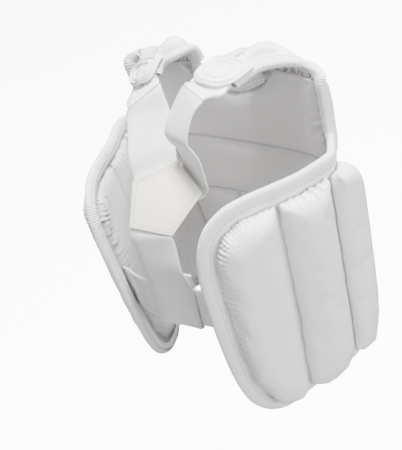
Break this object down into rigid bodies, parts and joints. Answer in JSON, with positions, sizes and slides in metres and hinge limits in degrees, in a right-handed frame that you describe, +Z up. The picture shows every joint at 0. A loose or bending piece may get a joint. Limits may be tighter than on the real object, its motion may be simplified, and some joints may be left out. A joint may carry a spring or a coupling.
{
  "type": "karate chest protector",
  "caption": "White padded karate chest guard with wrap-round tubed sides, shoulder pads, elastic straps meeting at a back patch, and an elastic waist belt.",
  "frame": {"origin": "on the middle plane under the crest of the shoulder pads, where the wearer's shoulders carry it", "axes": "+Z up as worn; the wearer faces -Y; the wearer's left is +X"},
  "size_m": [0.3166, 0.1968, 0.3602],
  "materials": {
    "white_cover": "smooth white coated cloth with soft folds",
    "grey_white_lining": "matt grey-white lining cloth",
    "white_tape": "ribbed white edge tape",
    "white_elastic": "woven white elastic",
    "cream_leather": "cream leather, fine grain",
    "white_moulding": "soft white moulding"
  },
  "bodies": {
    "root": {"body_lining": "grey_white_lining", "chest_pad": "white_cover", "chest_band": "white_cover", "front_tube_1": "white_cover", "front_tube_2": "white_cover", "front_tube_3": "white_cover", "side_tube_right_front": "white_cover", "side_tube_right_middle": "white_cover", "side_tube_right_back": "white_cover", "side_tube_left_front": "white_cover", "side_tube_left_middle": "white_cover", "side_tube_left_back": "white_cover", "shoulder_pad_right": "white_cover", "shoulder_pad_left": "white_cover", "shoulder_tab_right": "white_moulding", "shoulder_tab_left": "white_moulding", "hook_band_right": "white_moulding", "hook_band_left": "white_moulding", "shoulder_strap_right": "white_elastic", "shoulder_strap_left": "white_elastic", "yoke_patch": "cream_leather", "back_strap": "white_elastic", "waist_belt": "white_elastic", "outer_binding": "white_tape", "neck_binding": "white_tape"}
  },
  "joints": []
}
